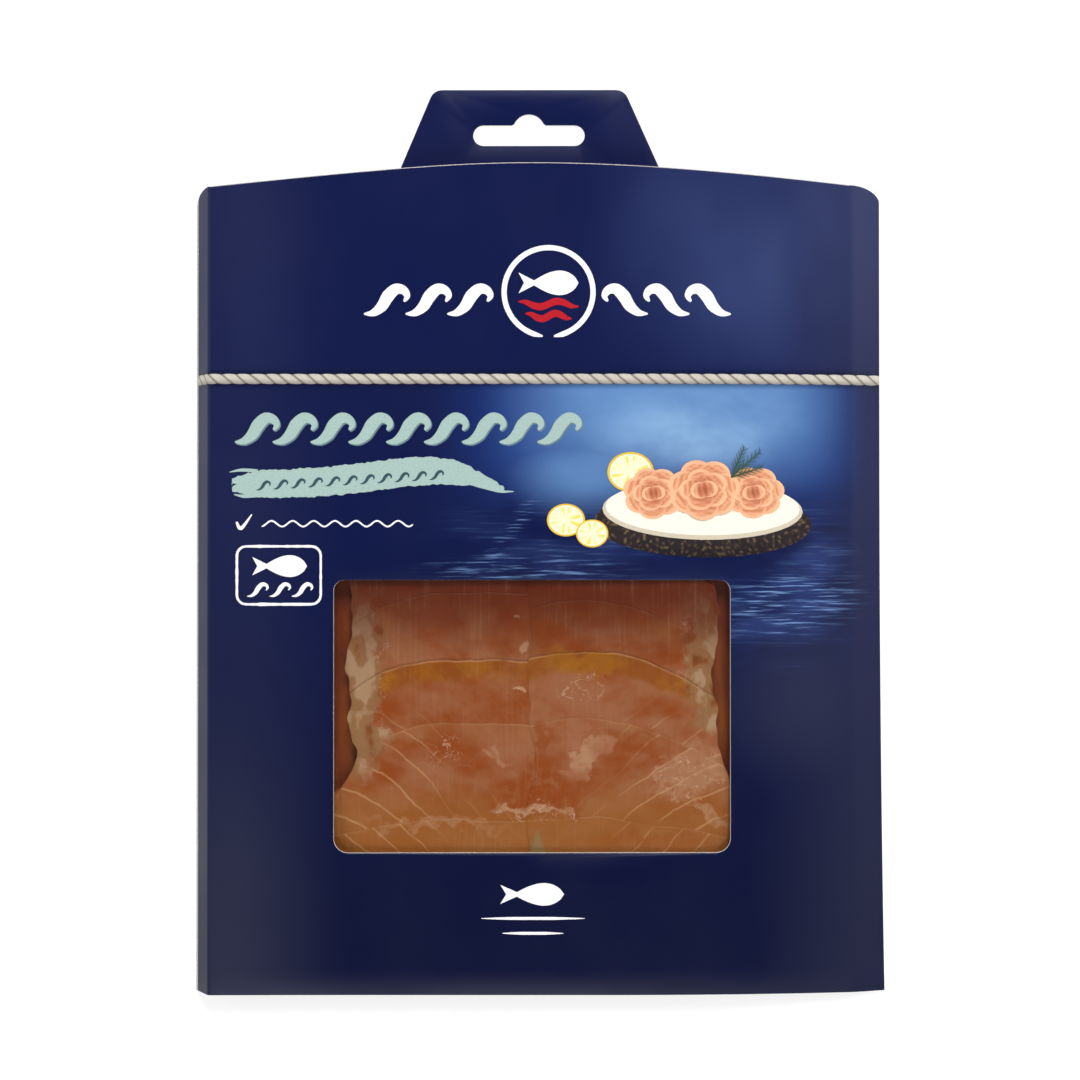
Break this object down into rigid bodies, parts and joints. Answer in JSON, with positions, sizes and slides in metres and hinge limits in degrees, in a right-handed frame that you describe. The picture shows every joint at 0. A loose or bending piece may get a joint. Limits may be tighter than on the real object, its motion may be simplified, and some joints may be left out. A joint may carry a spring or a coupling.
{
  "type": "pack of smoked salmon",
  "caption": "Flat board sleeve with a hang tab and a window, round a clear vacuum pouch of overlapping sliced smoked salmon.",
  "frame": {"origin": "middle of the footprint, on the back face that the pack lies on", "axes": "+X to the right of the front, +Y up the front towards the hang tab, +Z out of the front"},
  "size_m": [0.1966, 0.2576, 0.0082],
  "materials": {
    "printed_board": "satin-gloss navy print on white carton board",
    "sliced_salmon_under_film": "clear film drawn tight over orange-pink fish"
  },
  "bodies": {
    "root": {"carton_sleeve": "printed_board", "vacuum_pouch": "sliced_salmon_under_film"}
  },
  "joints": []
}
